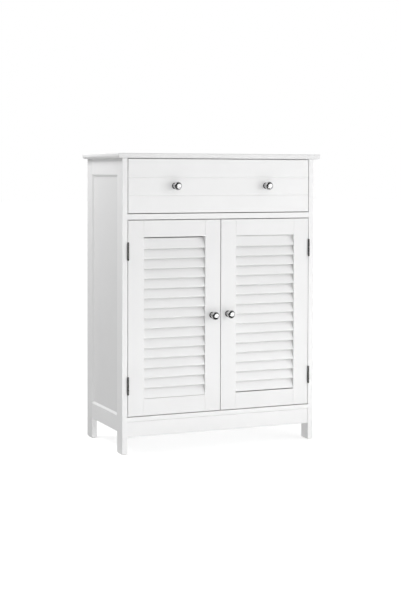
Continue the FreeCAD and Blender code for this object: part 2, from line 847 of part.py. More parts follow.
side_nodes = {
    "front_post": post(front_post, holes + hinge_mortises(1)),
    "rear_post": post(rear_post, holes),
    "upper_rail": side_board((inner_x, outer_x), (high_rail_z, under_top_z), holes),
    "lower_rail": side_board((inner_x, outer_x), (low_rail_z, low_rail_top_z), holes),
    "side_panel": side_board((inner_x, panel_x), (low_rail_top_z, high_rail_z), holes),
    "runner_channel": runner_channel(),
    "front_roller": roller(front_roller_radius, front_roller_x, front_roller_y, front_roller_z),
    "runner_angle": runner_angle(),
    "rear_roller": roller(rear_roller_radius, rear_roller_x, rear_roller_y, rear_roller_z),
}
nodes = {}
for name, solid in side_nodes.items():
    nodes["left_" + name] = [mirrored(solid)]
    nodes["right_" + name] = [solid]

panel_reach = inner_x + back_groove_depth - fit_gap
back_board = block((-panel_reach, panel_reach), (back_panel_y, back_face_y),
                   (floor_z, under_top_z + top_groove_depth - fit_gap))
shelf_reach = inner_x - shelf_gap
apron_y = front_y + apron_setback
nodes["top_board"] = [top_board(all_holes)]
nodes["divider_board"] = [cut(board(across, board_depth, (divider_z, bay_floor_z)), all_holes)]
nodes["floor_board"] = [cut(board(across, board_depth, (floor_z, floor_top_z)), all_holes)]
nodes["front_apron"] = [cut(board(across, (apron_y, apron_y + apron_thickness), (apron_clearance, floor_z)),
                            all_holes)]
nodes["back_panel"] = [cut(back_board, all_holes)]
nodes["shelf"] = [board((-shelf_reach, shelf_reach),
                        (front_y + shelf_front_setback, back_panel_y - shelf_gap),
                        (shelf_underside, shelf_underside + shelf_thickness))]
nodes["shelf_pins"] = both_sides(solids_of(pins))
nodes["side_beading"] = both_sides(side_beading())
nodes["foot_glides"] = both_sides(solids_of(glides))
nodes["frame_hinge_leaves"] = both_sides([hinge_leaf(middle_z, 1) for middle_z in hinge_levels])
nodes["hinge_pins"] = both_sides([hinge_pin(middle_z) for middle_z in hinge_levels])
nodes["magnetic_catch"] = [catch_casing()]
nodes["catch_magnets"] = both_sides([magnet(0)])
nodes["dowels"] = both_sides(solids_of(dowels))
nodes["cam_fittings"] = both_sides(solids_of(cams))
nodes["carcass_screws"] = both_sides(solids_of(post_screws + [catch_screw()])) + solids_of(panel_screws)

# Drawer nodes

fixings = drawer_fixings()
drawer_holes = holes_of(fixings)
all_drawer_holes = both_sides(drawer_holes)
box_y = (front_back_y, box_back_y)
drawer_side = cut(board((box_inner_x, box_x), box_y, (box_z, box_top_z)),
                  drawer_holes + [drawer_bottom(fit_gap)])
drawer_back = board((-box_inner_x, box_inner_x), (box_back_y - drawer_side_thickness, box_back_y),
                    (drawer_back_z, box_top_z - drawer_back_drop))
knob_hole = knob_screw(drawer_knob_x, front_back_y, drawer_middle_z)[1]
drawer_knob = knob(drawer_knob_x, front_y, drawer_middle_z).cut(knob_hole)
nodes["drawer_front"] = [drawer_front(all_drawer_holes)]
nodes["drawer_left_side"] = [mirrored(drawer_side)]
nodes["drawer_right_side"] = [drawer_side]
nodes["drawer_back"] = [cut(drawer_back, all_drawer_holes)]
nodes["drawer_bottom"] = [cut(drawer_bottom(0), all_drawer_holes)]
nodes["drawer_knobs"] = both_sides([drawer_knob])
nodes["drawer_fixings"] = both_sides(solids_of(fixings))

# Door nodes

for name, solids in door(right_slat_lift, right_knob_inset, right_knob_lift).items():
    nodes["right_door_" + name] = solids
for name, solids in door(left_slat_lift, left_knob_inset, left_knob_lift).items():
    nodes["left_door_" + name] = [mirrored(solid) for solid in solids]

os.makedirs("parts", exist_ok=True)
for name, solids in nodes.items():
    shape = solids[0] if len(solids) == 1 else Part.makeCompound(solids)
    shape.exportStep("parts/" + name + ".step")
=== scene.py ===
import json
import math

import bpy
import numpy as np
from mathutils import Matrix, Vector


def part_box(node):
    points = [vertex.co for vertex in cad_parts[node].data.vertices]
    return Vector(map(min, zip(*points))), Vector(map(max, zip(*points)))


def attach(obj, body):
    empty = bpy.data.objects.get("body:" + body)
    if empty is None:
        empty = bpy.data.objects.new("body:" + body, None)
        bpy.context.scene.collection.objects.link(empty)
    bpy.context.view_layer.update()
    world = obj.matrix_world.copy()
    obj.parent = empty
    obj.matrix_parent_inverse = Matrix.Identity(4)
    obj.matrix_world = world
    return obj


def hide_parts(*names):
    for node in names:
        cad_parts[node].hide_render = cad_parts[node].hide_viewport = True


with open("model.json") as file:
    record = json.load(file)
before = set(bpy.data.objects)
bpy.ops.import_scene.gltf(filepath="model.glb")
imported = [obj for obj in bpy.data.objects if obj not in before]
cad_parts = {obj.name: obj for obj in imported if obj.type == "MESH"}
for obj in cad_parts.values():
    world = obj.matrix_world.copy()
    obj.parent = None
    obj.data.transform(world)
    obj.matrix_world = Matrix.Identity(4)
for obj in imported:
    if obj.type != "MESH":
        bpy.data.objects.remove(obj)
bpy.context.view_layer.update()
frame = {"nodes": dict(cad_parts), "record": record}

# dresses the cabinet's CAD frame with materials, finer surfaces for some of its nodes and a studio;
# lengths are in metres and angles in degrees, unless a comment says otherwise
nodes = frame["nodes"]
print("cabinet frame loaded:", len(nodes), "nodes")


def outward(verts, faces):
    # faces turned to look outwards: the sum of a . (b x c) over each face's fan of triangles is six times
    # the shell's volume, and negative where the faces look inwards
    total = 0.0
    for size in {len(face) for face in faces}:
        ring = verts[np.array([face for face in faces if len(face) == size])]
        for step in range(1, size - 1):
            total += np.einsum("ij,ij->i", ring[:, 0], np.cross(ring[:, step], ring[:, step + 1])).sum()
    return faces if total > 0 else [face[::-1] for face in faces]


def gridFaces(rows, columns, wrapColumns=False):
    # quads between neighbouring grid points; wrapped columns join the last one to the first
    row = np.arange(rows - 1)[:, None]
    column = np.arange(columns if wrapColumns else columns - 1)[None, :]
    nextColumn = (column + 1) % columns
    quads = np.stack([row * columns + column, row * columns + nextColumn,
                      (row + 1) * columns + nextColumn, (row + 1) * columns + column], axis=-1)
    return quads.reshape(-1, 4).tolist()


def makePiece(name, shells, material, body, node, sharpAngle):
    # shells is a list of closed (vertices, faces); edges sharper than sharpAngle stay crisp
    verts, faces, offset = [], [], 0
    for shellVerts, shellFaces in shells:
        faces += [[index + offset for index in face] for face in outward(shellVerts, shellFaces)]
        verts.append(shellVerts)
        offset += len(shellVerts)
    mesh = bpy.data.meshes.new(name)
    mesh.from_pydata(np.concatenate(verts).tolist(), [], faces)
    mesh.validate()
    mesh.polygons.foreach_set("use_smooth", np.ones(len(mesh.polygons), bool))
    mesh.set_sharp_from_angle(angle=math.radians(sharpAngle))
    mesh.materials.append(material)
    piece = bpy.data.objects.new(name, mesh)
    bpy.context.scene.collection.objects.link(piece)
    shading = piece.modifiers.new("largeFacesFlat", "WEIGHTED_NORMAL")
    shading.keep_sharp = True
    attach(piece, body)
    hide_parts(node)


def carried(outlines):
    # a closed outline carried along a path: outlines is (stations, points, 3), with a flat cap at each end
    stations, points = outlines.shape[:2]
    faces = gridFaces(stations, points, wrapColumns=True)
    faces.append(list(range(points))[::-1])
    faces.append(list(range((stations - 1) * points, stations * points)))
    return outlines.reshape(-1, 3), faces


def carriedAlongX(section, places):
    # the outline of (y, z) points repeated at each x place
    outlines = np.empty((len(places), len(section), 3))
    outlines[:, :, 0] = places[:, None]
    outlines[:, :, 1:] = section
    return carried(outlines)


def turnedShell(radius, height, foot, axis, segments):
    # an outline of (radius, height) turned round an axis through foot, at right angles to x: each point is
    # foot + height * axis + radius * (cos a * x + sin a * side); the outline's two ends are single points
    across = np.array([1.0, 0, 0])
    side = np.cross(axis, across)
    angle = np.linspace(0, 2 * np.pi, segments, endpoint=False)
    circle = np.cos(angle)[:, None] * across + np.sin(angle)[:, None] * side
    rings = len(radius) - 2
    ring = foot + height[1:-1, None, None] * axis + radius[1:-1, None, None] * circle
    verts = np.concatenate([ring.reshape(-1, 3), [foot + height[0] * axis], [foot + height[-1] * axis]])
    first, last = rings * segments, rings * segments + 1
    around = np.arange(segments)
    following = (around + 1) % segments
    end = (rings - 1) * segments
    faces = gridFaces(rings, segments, wrapColumns=True)
    faces += np.stack([np.full(segments, first), following, around], -1).tolist()
    faces += np.stack([np.full(segments, last), end + around, end + following], -1).tolist()
    return verts, faces


def arcPoints(centre, radius, start, end, count):
    # points on a circle from one angle to another: centre + radius * (cos a, sin a)
    angle = np.radians(np.linspace(start, end, count))
    return np.stack([centre[0] + radius * np.cos(angle), centre[1] + radius * np.sin(angle)], -1)


def newGroup(name, inputs, outputs):
    # a node group whose sockets are given as label and kind
    group = bpy.data.node_groups.new(name, "ShaderNodeTree")
    for label, kind in inputs.items():
        group.interface.new_socket(name=label, in_out="INPUT", socket_type="NodeSocket" + kind)
    for label, kind in outputs.items():
        group.interface.new_socket(name=label, in_out="OUTPUT", socket_type="NodeSocket" + kind)
    given = group.nodes.new("NodeGroupInput").outputs
    result = group.nodes.new("NodeGroupOutput").inputs
    return group, given, result


def newMaterial(name):
    material = bpy.data.materials.new(name)
    material.use_nodes = True
    return material, material.node_tree


def addNode(tree, kind, values=None, **attributes):
    # each value is a number to set or another node's socket to link; attributes are the node's own settings
    node = tree.nodes.new(kind)
    for label, value in attributes.items():
        setattr(node, label, value)
    for socket, value in (values or {}).items():
        if isinstance(value, bpy.types.NodeSocket):
            tree.links.new(value, node.inputs[socket])
        else:
            node.inputs[socket].default_value = value
    return node


def objectPlace(tree):
    return addNode(tree, "ShaderNodeTexCoord").outputs["Object"]


def noise(tree, vector, scale, detail, roughness):
    values = {"Vector": vector, "Scale": scale, "Detail": detail, "Roughness": roughness}
    return addNode(tree, "ShaderNodeTexNoise", values).outputs["Fac"]


def maths(tree, operation, first, second, clamp=False):
    node = addNode(tree, "ShaderNodeMath", {0: first, 1: second}, operation=operation, use_clamp=clamp)
    return node.outputs[0]


def vectorMaths(tree, operation, *vectors):
    # a vector, or a number for a dot product or a length
    node = addNode(tree, "ShaderNodeVectorMath", dict(enumerate(vectors)), operation=operation)
    return node.outputs["Value" if operation in ("DOT_PRODUCT", "LENGTH") else "Vector"]


def between(tree, value, fromLow, fromHigh, toLow, toHigh):
    # the value carried from one range to another in a straight line, and held at its ends
    values = {0: value, 1: fromLow, 2: fromHigh, 3: toLow, 4: toHigh}
    return addNode(tree, "ShaderNodeMapRange", values).outputs[0]


def shade(tree, colour, factor):
    # a colour made darker or lighter by a factor near one
    return addNode(tree, "ShaderNodeVectorMath", {0: colour, "Scale": factor}, operation="SCALE").outputs[0]


def bumped(tree, height, strength, distance):
    values = {"Height": height, "Strength": strength, "Distance": distance}
    return addNode(tree, "ShaderNodeBump", values).outputs["Normal"]


# each noise is its scale per metre, its detail and its roughness
paintLook = dict(clouds=(9.0, 4.0, 0.55), cloudRange=(0.3, 0.7), clouding=0.012,
                 orangePeel=(620.0, 2.0, 0.6), streaks=(60.0, 4.0, 0.6), streakHeight=0.6, sheenSpread=0.12,
                 refraction=1.48, bump=dict(strength=0.25, distance=0.00012))
metalLook = dict(scratches=(900.0, 3.0, 0.6), clouds=(140.0, 3.0, 0.6), smudgeRange=(0.4, 0.75),
                 metallic=1.0, bump=dict(strength=0.12, distance=0.00003))


def buildPaintSkin():
    # sprayed satin paint: cloudy tone, fine orange peel and faint streaks that vary the sheen
    group, given, result = newGroup(
        "paintSkin",
        {"Colour": "Color", "Clouding": "Float", "Peel": "Float", "Sheen spread": "Float",
         "Roughness": "Float", "Grain": "Vector"},
        {"Colour": "Color", "Roughness": "Float", "Height": "Float"})
    place = objectPlace(group)
    cloud = noise(group, place, *paintLook["clouds"])
    peel = noise(group, place, *paintLook["orangePeel"])
    streak = noise(group, vectorMaths(group, "MULTIPLY", place, given["Grain"]), *paintLook["streaks"])
    darkest = maths(group, "MULTIPLY", given["Clouding"], -1.0)
    tone = between(group, cloud, *paintLook["cloudRange"], darkest, given["Clouding"])
    group.links.new(shade(group, given["Colour"], maths(group, "ADD", tone, 1.0)), result["Colour"])
    sheen = maths(group, "MULTIPLY", maths(group, "SUBTRACT", streak, 0.5), given["Sheen spread"])
    group.links.new(maths(group, "ADD", given["Roughness"], sheen, clamp=True), result["Roughness"])
    height = maths(group, "ADD", maths(group, "MULTIPLY", peel, given["Peel"]),
                   maths(group, "MULTIPLY", streak, paintLook["streakHeight"]))
    group.links.new(height, result["Height"])
    return group


def buildMetalSkin():
    # fine scratches along one direction, handling marks and a cloudy tarnish
    group, given, result = newGroup(
        "metalSkin",
        {"Colour": "Color", "Marks": "Float", "Roughness": "Float", "Grain": "Vector", "Tarnish": "Float"},
        {"Colour": "Color", "Roughness": "Float", "Height": "Float"})
    place = objectPlace(group)
    scratch = noise(group, vectorMaths(group, "MULTIPLY", place, given["Grain"]), *metalLook["scratches"])
    cloud = noise(group, place, *metalLook["clouds"])
    smudge = between(group, cloud, *metalLook["smudgeRange"], 0.0, given["Marks"])
    fine = maths(group, "MULTIPLY", maths(group, "SUBTRACT", scratch, 0.5), given["Marks"])
    rough = maths(group, "ADD", maths(group, "ADD", given["Roughness"], smudge), fine, clamp=True)
    group.links.new(rough, result["Roughness"])
    dull = maths(group, "MULTIPLY", maths(group, "SUBTRACT", cloud, 0.5), given["Tarnish"])
    group.links.new(shade(group, given["Colour"], maths(group, "ADD", dull, 1.0)), result["Colour"])
    group.links.new(scratch, result["Height"])
    return group


def skinnedMaterial(name, group, settings, shader, bump):
    # a Principled material whose colour, roughness and bump come from a skin group
    material, tree = newMaterial(name)
    principled = tree.nodes["Principled BSDF"]
    skin = tree.nodes.new("ShaderNodeGroup")
    skin.node_tree = group
    for socket, value in settings.items():
        skin.inputs[socket].default_value = value
    for socket, value in shader.items():
        principled.inputs[socket].default_value = value
    tree.links.new(skin.outputs["Colour"], principled.inputs["Base Color"])
    tree.links.new(skin.outputs["Roughness"], principled.inputs["Roughness"])
    tree.links.new(bumped(tree, skin.outputs["Height"], **bump), principled.inputs["Normal"])
    return material


# grain squeezes the streaks' coordinates: a small number draws them out along that axis
finishes = {
    "whitePaint": dict(colour=(0.866, 0.866, 0.866), peel=0.5, rough=0.42, grain=(1, 1, 1)),
    # the white paint made darker: painted shade on the door frames, rear posts and top board
    "shadedWhitePaint": dict(colour=(0.825, 0.825, 0.825), peel=0.5, rough=0.42, grain=(1, 1, 1)),
    # the white paint made darker still: painted shade of the side panels' recesses
    "recessShadedPaint": dict(colour=(0.8, 0.8, 0.8), peel=0.5, rough=0.42, grain=(1, 1, 1)),
    # the white paint made lighter: painted light that lifts the slats against the stiles
    "brightenedSlatPaint": dict(colour=(0.9, 0.9, 0.9), peel=0.4, rough=0.42, grain=(0.15, 1, 1)),
    "hardboard": dict(colour=(0.82, 0.82, 0.81), peel=0.8, rough=0.6, grain=(1, 1, 0.2)),
    "runnerPaint": dict(colour=(0.8, 0.8, 0.79), peel=0.6, rough=0.35, grain=(1, 0.1, 1)),
    "whitePlastic": dict(colour=(0.78, 0.78, 0.76), peel=0.3, rough=0.45, grain=(1, 1, 1)),
    "rollerPlastic": dict(colour=(0.84, 0.84, 0.81), peel=0.2, rough=0.4, grain=(1, 1, 1)),
}
metals = {
    "knobChrome": dict(colour=(0.56, 0.56, 0.562), marks=0.05, rough=0.08, grain=(1, 1, 1), tarnish=0.06),
    # nickel coloured near black: painted shade standing in for the dark surroundings the hinges reflect
    "darkenedHingeNickel": dict(colour=(0.09, 0.089, 0.087), marks=0.15, rough=0.25, grain=(1, 1, 0.08),
                        tarnish=0.4),
    "zincSteel": dict(colour=(0.6, 0.6, 0.61), marks=0.15, rough=0.32, grain=(1, 1, 1), tarnish=0.25),
    "plateSteel": dict(colour=(0.58, 0.58, 0.59), marks=0.12, rough=0.3, grain=(0.1, 1, 1), tarnish=0.2),
    "magnetBlack": dict(colour=(0.1, 0.1, 0.105), marks=0.2, rough=0.5, grain=(1, 1, 1), tarnish=0.3),
}


def buildFinishes():
    built = {}
    paintSkin, metalSkin = buildPaintSkin(), buildMetalSkin()
    for label, finish in finishes.items():
        settings = {"Colour": (*finish["colour"], 1), "Clouding": paintLook["clouding"],
                    "Peel": finish["peel"], "Sheen spread": paintLook["sheenSpread"],
                    "Roughness": finish["rough"], "Grain": finish["grain"]}
        built[label] = skinnedMaterial(label, paintSkin, settings, {"IOR": paintLook["refraction"]},
                                       paintLook["bump"])
    for label, finish in metals.items():
        settings = {"Colour": (*finish["colour"], 1), "Marks": finish["marks"],
                    "Roughness": finish["rough"], "Grain": finish["grain"], "Tarnish": finish["tarnish"]}
        built[label] = skinnedMaterial(label, metalSkin, settings, {"Metallic": metalLook["metallic"]},
                                       metalLook["bump"])
    return built


beechLook = dict(grain=(700.0, 4.0, 0.6), drawnOut=(0.15, 1, 1), toneRange=(0.3, 0.7),
                 dark=(0.62, 0.44, 0.27, 1), pale=(0.78, 0.62, 0.43, 1), roughness=(0.5, 0.75),
                 bump=dict(strength=0.3, distance=0.0001))


def beechMaterial():
    # pale wood with grain lines drawn out along x
    material, tree = newMaterial("beech")
    principled = tree.nodes["Principled BSDF"]
    grain = noise(tree, vectorMaths(tree, "MULTIPLY", objectPlace(tree), beechLook["drawnOut"]),
                  *beechLook["grain"])
    tone = between(tree, grain, *beechLook["toneRange"], 0.0, 1.0)
    # a mix node's colours are its inputs 6 and 7 and its output 2
    colour = addNode(tree, "ShaderNodeMix", {0: tone, 6: beechLook["dark"], 7: beechLook["pale"]},
                     data_type="RGBA").outputs[2]
    tree.links.new(colour, principled.inputs["Base Color"])
    tree.links.new(between(tree, grain, 0.0, 1.0, *beechLook["roughness"]), principled.inputs["Roughness"])
    tree.links.new(bumped(tree, grain, **beechLook["bump"]), principled.inputs["Normal"])
    return material


slotMaterials = {"painted_board": "whitePaint", "hardboard": "hardboard", "knob_metal": "knobChrome",
                 "hinge_metal": "darkenedHingeNickel", "plate_steel": "plateSteel", "screw_steel": "zincSteel",
                 "runner_steel": "runnerPaint", "roller_plastic": "rollerPlastic",
                 "white_plastic": "whitePlastic", "magnet": "magnetBlack", "dowel_wood": "beech"}
# nodes whose paint differs from their slot's: darker copies of the white paint, painted shade on the side
# panels, rear posts and door frames
nodeMaterials = {"left_side_panel": "recessShadedPaint", "right_side_panel": "recessShadedPaint",
                 "left_rear_post": "shadedWhitePaint", "right_rear_post": "shadedWhitePaint"}
for side in ("left", "right"):
    for part in ("outer_stile", "inner_stile", "top_rail", "bottom_rail"):
        nodeMaterials[side + "_door_" + part] = "shadedWhitePaint"


def dressNodes():
    # each CAD node gets its own material where it has one, and its slot's otherwise
    for part in frame["record"]["subparts"]:
        label = nodeMaterials.get(part["node"], slotMaterials[part["material_slot"]])
        meshData = nodes[part["node"]].data
        meshData.materials.clear()
        meshData.materials.append(materials[label])


materials = buildFinishes()
materials["beech"] = beechMaterial()
dressNodes()
print("materials ready:", len(materials))


hingeRounding = dict(width=0.0003, segments=3, sharper=40.0, sharedWithin=0.000002,
                     nodes=["frame_hinge_leaves", "hinge_pins", "left_door_hinge_leaves",
                            "right_door_hinge_leaves", "left_door_strike_plate", "right_door_strike_plate"])


def roundHinges():
    # corners are shared first, so that the rounding runs along whole edges
    for node in hingeRounding["nodes"]:
        weld = nodes[node].modifiers.new("sharedCorners", "WELD")
        weld.merge_threshold = hingeRounding["sharedWithin"]
        bevel = nodes[node].modifiers.new("softEdges", "BEVEL")
        bevel.width = hingeRounding["width"]
        bevel.segments = hingeRounding["segments"]
        bevel.limit_method = "ANGLE"
        bevel.angle_limit = math.radians(hingeRounding["sharper"])


roundHinges()
print("hinge edges rounded")


topBoard = dict(cornerRound=0.003, leastCorner=0.0004, upperRound=0.0025, lowerRound=0.0075, arcSteps=10,
                cornerSteps=8, sharpAngle=40.0)


def buildTopBoard():
    # level outlines stacked in z, each drawn in by its inset
    low, high = (np.array(corner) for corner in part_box("top_board"))
    lower, upper = topBoard["lowerRound"], topBoard["upperRound"]
    # the edge as (inset, height): a quarter circle under it and a smaller one above it
    edge = np.concatenate([arcPoints((lower, low[2] + lower), lower, 270, 180, topBoard["arcSteps"]),
                           arcPoints((upper, high[2] - upper), upper, 180, 90, topBoard["arcSteps"])])
    inset, height = edge[:, :1], edge[:, 1:]
    # each outline is square at the back; the quarter circles at its front corners shrink with the inset
    bend = np.maximum(topBoard["cornerRound"] - inset, topBoard["leastCorner"])
    angle = np.linspace(0, np.pi / 2, topBoard["cornerSteps"])[None, :]
    left, right = low[0] + inset + bend, high[0] - inset - bend
    front = low[1] + inset + bend
    back = np.full_like(inset, high[1])
    planX = np.concatenate([low[0] + inset, left - bend * np.cos(angle), right + bend * np.sin(angle),
                            high[0] - inset], axis=1)
    planY = np.concatenate([back, front - bend * np.sin(angle), front - bend * np.cos(angle), back], axis=1)
    planZ = np.broadcast_to(height, planX.shape)
    shell = carried(np.stack([planX, planY, planZ], -1))
    # the top board takes the darker copy of the white paint, painted shade along its front edge
    makePiece("topBoard", [shell], materials["shadedWhitePaint"], "carcass", "top_board",
              topBoard["sharpAngle"])


buildTopBoard()
print("top board done")


easedBoards = {"frontApron": dict(node="front_apron", jointGap=0.0004),
               "floorBoard": dict(node="floor_board", jointGap=0.0)}
boardEdge = dict(round=0.0012, arcSteps=6, stations=7, sharpAngle=40.0)


def buildEasedBoard(name, node, jointGap):
    # a rectangle with quarter circles at its corners, carried along x; the joint's gap is taken off its top
    low, high = (np.array(corner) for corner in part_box(node))
    edge = boardEdge["round"]
    back, front = high[1] - edge, low[1] + edge
    top, bottom = high[2] - jointGap - edge, low[2] + edge
    corners = [(back, top, 0), (front, top, 90), (front, bottom, 180), (back, bottom, 270)]
    section = np.concatenate([arcPoints((y, z), edge, start, start + 90, boardEdge["arcSteps"])
                              for y, z, start in corners])
    shell = carriedAlongX(section, np.linspace(low[0], high[0], boardEdge["stations"]))
    makePiece(name, [shell], materials["whitePaint"], "carcass", node,
              boardEdge["sharpAngle"])


for name, board in easedBoards.items():
    buildEasedBoard(name, **board)
print("apron and floor board done")


drawerFront = dict(edgeRound=0.0012, edgeSteps=6, grooveWidth=0.007, grooveDepth=0.001, grooves=2,
                   groovePoints=17, columns=6, rows=2, sharpAngle=30.0)


def easedEdges(low, high, inner):
    # places from low to high, close together over the rounded edges, where they follow edge * (1 - cos a)
    edge = drawerFront["edgeRound"]
    curve = edge * (1 - np.cos(np.linspace(0, np.pi / 2, drawerFront["edgeSteps"])))
    middle = np.linspace(low + edge, high - edge, inner + 2)[1:-1]
    return np.concatenate([low + curve, middle, high - curve[::-1]])


def grooveDepthAt(height, middles):
    # each groove is a circular cove, sqrt(radius^2 - across^2) less its value at the groove's edge
    depth, width = drawerFront["grooveDepth"], drawerFront["grooveWidth"]
    radius = (width ** 2 / 4 + depth ** 2) / (2 * depth)
    total = np.zeros_like(height)
    for middle in middles:
        across = np.minimum(np.abs(height - middle), width / 2)
        total += np.sqrt(radius ** 2 - across ** 2) - (radius - depth)
    return total


def buildDrawerFront():
    # the front is a sheet y(x, z): a quarter circle down at every edge, and grooves evenly over its height
    low, high = (np.array(corner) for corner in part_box("drawer_front"))
    edge, grooves = drawerFront["edgeRound"], drawerFront["grooves"]
    middles = low[2] + (high[2] - low[2]) * np.arange(1, grooves + 1) / (grooves + 1)
    across = drawerFront["grooveWidth"] / 2 * np.linspace(-1, 1, drawerFront["groovePoints"])
    x = easedEdges(low[0], high[0], drawerFront["columns"])
    z = np.concatenate([easedEdges(low[2], high[2], drawerFront["rows"]),
                        (middles[:, None] + across).ravel()])
    # the outermost lines are doubled, and their second copies go back to the board's rear face
    gridX, gridZ = np.meshgrid(np.pad(x, 1, "edge"), np.pad(np.sort(z), 1, "edge"), indexing="ij")
    nearX = np.maximum(edge - np.minimum(gridX - low[0], high[0] - gridX), 0)
    nearZ = np.maximum(edge - np.minimum(gridZ - low[2], high[2] - gridZ), 0)
    fall = np.minimum(np.hypot(nearX, nearZ), edge)
    gridY = low[1] + edge - np.sqrt(edge ** 2 - fall ** 2) + grooveDepthAt(gridZ, middles)
    gridY[[0, -1], :] = high[1]
    gridY[:, [0, -1]] = high[1]
    rows, columns = gridX.shape
    faces = gridFaces(rows, columns)
    # one flat face closes the back, along the grid's border
    index = np.arange(rows * columns).reshape(rows, columns)
    border = np.concatenate([index[0, :-1], index[:-1, -1], index[-1, :0:-1], index[:0:-1, 0]])
    faces.append(border.tolist()[::-1])
    verts = np.stack([gridX, gridY, gridZ], -1).reshape(-1, 3)
    makePiece("drawerFront", [(verts, faces)], materials["whitePaint"], "drawer",
              "drawer_front", drawerFront["sharpAngle"])


buildDrawerFront()
print("drawer front done")


knobShape = dict(length=0.030, collarRadius=0.0085, collarHeight=0.00035, coveTop=0.005,
                 neckRadius=0.0052, swellStart=0.010, rimHeight=0.0214, headRadius=0.0115,
                 steps=24, segments=96, sharpAngle=50.0)


def knobOutline():
    # radius and height from the board outwards: a collar, a parabola down to the neck, the smooth step
    # t^3 (10 - 15 t + 6 t^2) out to the rim and a quarter ellipse over the head
    collar, neck, head = (knobShape[key] for key in ("collarRadius", "neckRadius", "headRadius"))
    base, coveTop = knobShape["collarHeight"], knobShape["coveTop"]
    start, rim, top = knobShape["swellStart"], knobShape["rimHeight"], knobShape["length"]
    rise = np.linspace(0, 1, knobShape["steps"])
    turn = rise[1:] * np.pi / 2
    step = rise ** 3 * (10 - 15 * rise + 6 * rise ** 2)
    radius = np.concatenate([[0, collar], neck + (collar - neck) * (1 - rise) ** 2,
                             neck + (head - neck) * step, head * np.cos(turn)])
    height = np.concatenate([[0, 0], base + (coveTop - base) * rise, start + (rim - start) * rise,
                             rim + (top - rim) * np.sin(turn)])
    return radius, height


def buildKnobs(name, node, body, places):
    # knobs stand on the rear plane of their node's box at the given x places and point to -y
    low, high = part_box(node)
    radius, height = knobOutline()
    middleZ = (low[2] + high[2]) / 2
    forward = np.array([0, -1.0, 0])
    shells = [turnedShell(radius, height, np.array([x, high[1], middleZ]), forward, knobShape["segments"])
              for x in places]
    makePiece(name, shells, materials["knobChrome"], body, node, knobShape["sharpAngle"])


def buildAllKnobs():
    # the drawer's two knobs reach to the ends of their node's box, and each door's knob fills its own
    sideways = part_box("drawer_knobs")[1][0] - knobShape["headRadius"]
    buildKnobs("drawerKnobs", "drawer_knobs", "drawer", [-sideways, sideways])
    for side in ("left", "right"):
        low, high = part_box(side + "_door_knob")
        buildKnobs(side + "DoorKnob", side + "_door_knob", side + "_door", [(low[0] + high[0]) / 2])


buildAllKnobs()
print("knobs done")


# the wobble is in degrees, its step and starts in radians
slatShape = dict(count=16, chord=0.030, thickness=0.0045, lean=27.0, round=0.0009, arcSteps=7,
                 endInset=0.006, drop=0.00005, levelFoot=0.9, wobble=0.12, wobbleStep=2.4,
                 wobbleStart=dict(left=1, right=0), sharpAngle=35.0)


def slatSection():
    # a flat bar's outline with a quarter circle at each corner, as (across, along)
    half, tall, edge = slatShape["thickness"] / 2, slatShape["chord"] / 2, slatShape["round"]
    corners = [(half - edge, tall - edge, 0), (edge - half, tall - edge, 90),
               (edge - half, edge - tall, 180), (half - edge, edge - tall, 270)]
    outline = np.concatenate([arcPoints((a, b), edge, start, start + 90, slatShape["arcSteps"])
                              for a, b, start in corners])
    return outline[:, 0], outline[:, 1] - slatShape["drop"]


def buildSlats(side):
    # leaning bars evenly spaced between the rails. Each one's outline is turned by its tilt, so that
    # y = across cos + along sin and z = along cos - across sin; the tilt is the lean plus a small
    # unevenness, wobble * sin(wobbleStep * index + start)
    low, high = (np.array(corner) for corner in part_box(side + "_door_slats"))
    across, along = slatSection()
    count, inset, lean = slatShape["count"], slatShape["endInset"], math.radians(slatShape["lean"])
    tall = slatShape["chord"] * math.cos(lean) + slatShape["thickness"] * math.sin(lean)
    centres = np.linspace(low[2] + tall / 2, high[2] - tall / 2, count)
    phase = np.arange(count) * slatShape["wobbleStep"] + slatShape["wobbleStart"][side]
    tilts = lean + np.radians(slatShape["wobble"]) * np.sin(phase)
    middleX, middleY = (low[0] + high[0]) / 2, (low[1] + high[1]) / 2
    places = np.array([low[0], low[0] + inset, middleX, high[0] - inset, high[0]])
    # the lowest slat's foot is cut nearly level, parallel to the rail under it
    foot = (slatShape["thickness"] / 2 - across) * math.tan(tilts[0]) * slatShape["levelFoot"]
    footed = along - np.where(along < 0, foot, 0)
    shells = []
    for index, (centre, tilt) in enumerate(zip(centres, tilts)):
        length = footed if index == 0 else along
        y = middleY + across * math.cos(tilt) + length * math.sin(tilt)
        z = centre - across * math.sin(tilt) + length * math.cos(tilt)
        shells.append(carriedAlongX(np.stack([y, z], -1), places))
    # the slats take the lighter copy of the paint, painted light
    makePiece(side + "DoorSlats", shells, materials["brightenedSlatPaint"], side + "_door",
              side + "_door_slats", slatShape["sharpAngle"])


for side in ("left", "right"):
    buildSlats(side)
print("slats done")


white = (1, 1, 1, 1)


def glowing(tree, kind, strength):
    return addNode(tree, kind, {"Color": white, "Strength": strength}).outputs[0]


def matt(tree, tone):
    return addNode(tree, "ShaderNodeBsdfDiffuse", {"Color": (tone, tone, tone, 1)}).outputs[0]


def added(tree, first, second):
    return addNode(tree, "ShaderNodeAddShader", {0: first, 1: second}).outputs[0]


def chosen(tree, test, without, fitting):
    # the second shader for the rays that pass the test, the first one for all others
    return addNode(tree, "ShaderNodeMixShader", {0: test, 1: without, 2: fitting}).outputs[0]


# the camera sees albedo and cameraGlow, bounce and fill light the cabinet, and metal mirrors the rest
floorLook = dict(reach=30.0, albedo=0.8, cameraGlow=0.47, bounce=0.82, fill=0.42,
                 fillReach=(0.285, 0.115, 0), fillEdge=0.02, mirrored=1.35, mirroredSide=0.15,
                 towards=(0.515, -0.857, 0), edges=(0.62, 0.74), darkWithin=0.45, brightBeyond=0.9,
                 darkest=0.03)


